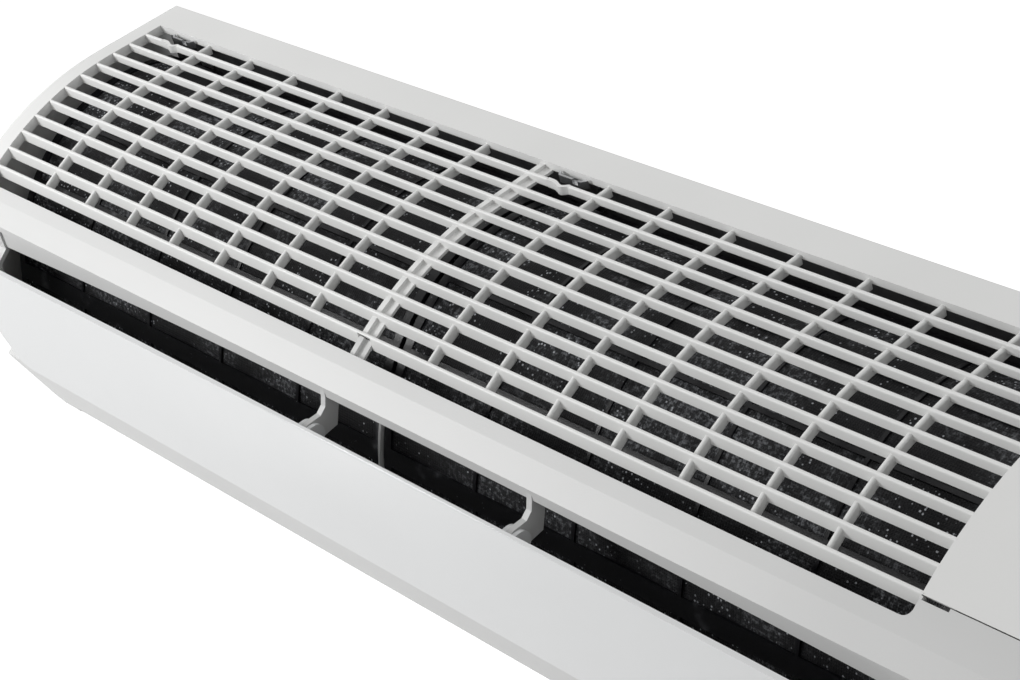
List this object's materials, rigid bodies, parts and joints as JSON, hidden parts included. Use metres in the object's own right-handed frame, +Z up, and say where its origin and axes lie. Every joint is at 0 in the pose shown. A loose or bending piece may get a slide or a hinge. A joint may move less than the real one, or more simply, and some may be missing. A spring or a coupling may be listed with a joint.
{
  "type": "mini split indoor unit",
  "caption": "Wall-mounted mini split indoor unit, 770 mm wide: louvred roof grille, hinged front panel, filters, coil, cross-flow fan, outlet louver and wall plate.",
  "frame": {"origin": "centre of the wall plate's four-screw pattern, on the wall's surface", "axes": "+X to the right along the unit, +Y into the wall, +Z up"},
  "size_m": [0.77, 0.18, 0.25],
  "materials": {
    "case_white": "satin",
    "panel_white": "gloss",
    "zinc_steel": "galvanised",
    "chassis_plastic": "matt",
    "grey_foam": "matt",
    "fin_aluminium": "fins",
    "copper": "drawn",
    "brass": "turned",
    "bronze": "sintered",
    "rubber": "matt",
    "motor_paint": "satin",
    "box_plastic": "matt",
    "board_green": "satin",
    "black_plastic": "satin",
    "lens": "gloss",
    "spring_steel": "drawn",
    "hook_steel": "satin",
    "screw_steel": "plated",
    "fan_plastic": "matt",
    "shaft_steel": "ground",
    "filter_black": "satin",
    "filter_mesh": "woven",
    "button_grey": "satin",
    "vane_plastic": "matt"
  },
  "bodies": {
    "base": {"wall_plate": "zinc_steel", "chassis": "chassis_plastic", "roof_case": "case_white", "front_case": "case_white", "drain_pan": "grey_foam", "coil_front": "fin_aluminium", "coil_back": "fin_aluminium", "coil_plates_front": "zinc_steel", "coil_plates_back": "zinc_steel", "tube_bends": "copper", "suction_pipe": "copper", "liquid_pipe": "copper", "flare_nuts": "brass", "fan_bush": "bronze", "bush_rubber": "rubber", "fan_motor": "motor_paint", "motor_rings": "rubber", "motor_straps": "zinc_steel", "louver_motor": "motor_paint", "filter_guides": "black_plastic", "control_box": "box_plastic", "box_cover": "zinc_steel", "control_board": "board_green", "terminal_block": "black_plastic", "display_lens": "lens", "display_board": "board_green", "button_holder": "black_plastic", "button_spring": "spring_steel", "roof_hooks": "hook_steel", "case_screws": "screw_steel"},
    "panel": {"front_panel": "panel_white"},
    "rotor": {"fan": "fan_plastic", "fan_pin": "shaft_steel", "motor_shaft": "shaft_steel"},
    "flap": {"louver": "case_white"},
    "filter_l": {"filter_left": "filter_black", "mesh_left": "filter_mesh"},
    "filter_r": {"filter_right": "filter_black", "mesh_right": "filter_mesh"},
    "key": {"button": "button_grey"},
    "vane_left_1_body": {"vane_left_1": "vane_plastic"},
    "vane_left_2_body": {"vane_left_2": "vane_plastic"},
    "vane_left_3_body": {"vane_left_3": "vane_plastic"},
    "vane_left_4_body": {"vane_left_4": "vane_plastic"},
    "vane_left_5_body": {"vane_left_5": "vane_plastic"},
    "vane_left_6_body": {"vane_left_6": "vane_plastic"},
    "link_left_body": {"link_left": "vane_plastic"},
    "vane_right_1_body": {"vane_right_1": "vane_plastic"},
    "vane_right_2_body": {"vane_right_2": "vane_plastic"},
    "vane_right_3_body": {"vane_right_3": "vane_plastic"},
    "vane_right_4_body": {"vane_right_4": "vane_plastic"},
    "vane_right_5_body": {"vane_right_5": "vane_plastic"},
    "vane_right_6_body": {"vane_right_6": "vane_plastic"},
    "link_right_body": {"link_right": "vane_plastic"}
  },
  "joints": [
    {"name": "panel_hinge", "type": "hinge", "parent": "base", "child": "panel", "pos_m": [0, -0.1714, 0.0625], "axis": [-1, 0, 0], "range_deg": [0, 65]},
    {"name": "louver_hinge", "type": "hinge", "parent": "base", "child": "flap", "pos_m": [0, -0.13806, -0.06038], "axis": [-1, 0, 0], "range_deg": [0, 80]},
    {"name": "fan_spin", "type": "hinge", "parent": "base", "child": "rotor", "pos_m": [0, -0.074, -0.022], "axis": [1, 0, 0], "continuous": true},
    {"name": "filter_left_lift", "type": "hinge", "parent": "base", "child": "filter_l", "pos_m": [-0.2135, -0.054, 0.01], "axis": [-1, 0, 0], "range_deg": [0, 3]},
    {"name": "filter_right_lift", "type": "hinge", "parent": "base", "child": "filter_r", "pos_m": [0.098, -0.054, 0.01], "axis": [-1, 0, 0], "range_deg": [0, 3]},
    {"name": "button_press", "type": "slide", "parent": "base", "child": "key", "axis": [0, 1, 0], "range_m": [0, 0.0012], "stiffness_N_per_m": 300, "springref_m": -0.002, "deforming": ["button_spring"]},
    {"name": "vane_left_1_turn", "type": "hinge", "parent": "base", "child": "vane_left_1_body", "pos_m": [-0.3233, -0.07918, -0.1034], "axis": [0, -0.6293, 0.7771], "range_deg": [-30, 30]},
    {"name": "vane_left_2_turn", "type": "hinge", "parent": "base", "child": "vane_left_2_body", "pos_m": [-0.2753, -0.07918, -0.1034], "axis": [0, -0.6293, 0.7771], "range_deg": [-30, 30]},
    {"name": "vane_left_3_turn", "type": "hinge", "parent": "base", "child": "vane_left_3_body", "pos_m": [-0.2273, -0.07918, -0.1034], "axis": [0, -0.6293, 0.7771], "range_deg": [-30, 30]},
    {"name": "vane_left_4_turn", "type": "hinge", "parent": "base", "child": "vane_left_4_body", "pos_m": [-0.1793, -0.07918, -0.1034], "axis": [0, -0.6293, 0.7771], "range_deg": [-30, 30]},
    {"name": "vane_left_5_turn", "type": "hinge", "parent": "base", "child": "vane_left_5_body", "pos_m": [-0.1313, -0.07918, -0.1034], "axis": [0, -0.6293, 0.7771], "range_deg": [-30, 30]},
    {"name": "vane_left_6_turn", "type": "hinge", "parent": "base", "child": "vane_left_6_body", "pos_m": [-0.0833, -0.07918, -0.1034], "axis": [0, -0.6293, 0.7771], "range_deg": [-30, 30]},
    {"name": "link_left_turn", "type": "hinge", "parent": "vane_left_1_body", "child": "link_left_body", "pos_m": [-0.3233, -0.11531, -0.06832], "axis": [0, -0.6293, 0.7771], "range_deg": [-30, 30]},
    {"name": "vane_right_1_turn", "type": "hinge", "parent": "base", "child": "vane_right_1_body", "pos_m": [-0.0353, -0.07918, -0.1034], "axis": [0, -0.6293, 0.7771], "range_deg": [-30, 30]},
    {"name": "vane_right_2_turn", "type": "hinge", "parent": "base", "child": "vane_right_2_body", "pos_m": [0.0127, -0.07918, -0.1034], "axis": [0, -0.6293, 0.7771], "range_deg": [-30, 30]},
    {"name": "vane_right_3_turn", "type": "hinge", "parent": "base", "child": "vane_right_3_body", "pos_m": [0.0607, -0.07918, -0.1034], "axis": [0, -0.6293, 0.7771], "range_deg": [-30, 30]},
    {"name": "vane_right_4_turn", "type": "hinge", "parent": "base", "child": "vane_right_4_body", "pos_m": [0.1087, -0.07918, -0.1034], "axis": [0, -0.6293, 0.7771], "range_deg": [-30, 30]},
    {"name": "vane_right_5_turn", "type": "hinge", "parent": "base", "child": "vane_right_5_body", "pos_m": [0.1567, -0.07918, -0.1034], "axis": [0, -0.6293, 0.7771], "range_deg": [-30, 30]},
    {"name": "vane_right_6_turn", "type": "hinge", "parent": "base", "child": "vane_right_6_body", "pos_m": [0.2047, -0.07918, -0.1034], "axis": [0, -0.6293, 0.7771], "range_deg": [-30, 30]},
    {"name": "link_right_turn", "type": "hinge", "parent": "vane_right_1_body", "child": "link_right_body", "pos_m": [-0.0353, -0.11531, -0.06832], "axis": [0, -0.6293, 0.7771], "range_deg": [-30, 30]}
  ],
  "couplings": [
    {"joint": "vane_left_2_turn", "follows": "vane_left_1_turn", "ratio": 1},
    {"joint": "vane_left_3_turn", "follows": "vane_left_1_turn", "ratio": 1},
    {"joint": "vane_left_4_turn", "follows": "vane_left_1_turn", "ratio": 1},
    {"joint": "vane_left_5_turn", "follows": "vane_left_1_turn", "ratio": 1},
    {"joint": "vane_left_6_turn", "follows": "vane_left_1_turn", "ratio": 1},
    {"joint": "link_left_turn", "follows": "vane_left_1_turn", "ratio": -1},
    {"joint": "vane_right_2_turn", "follows": "vane_right_1_turn", "ratio": 1},
    {"joint": "vane_right_3_turn", "follows": "vane_right_1_turn", "ratio": 1},
    {"joint": "vane_right_4_turn", "follows": "vane_right_1_turn", "ratio": 1},
    {"joint": "vane_right_5_turn", "follows": "vane_right_1_turn", "ratio": 1},
    {"joint": "vane_right_6_turn", "follows": "vane_right_1_turn", "ratio": 1},
    {"joint": "link_right_turn", "follows": "vane_right_1_turn", "ratio": -1}
  ]
}
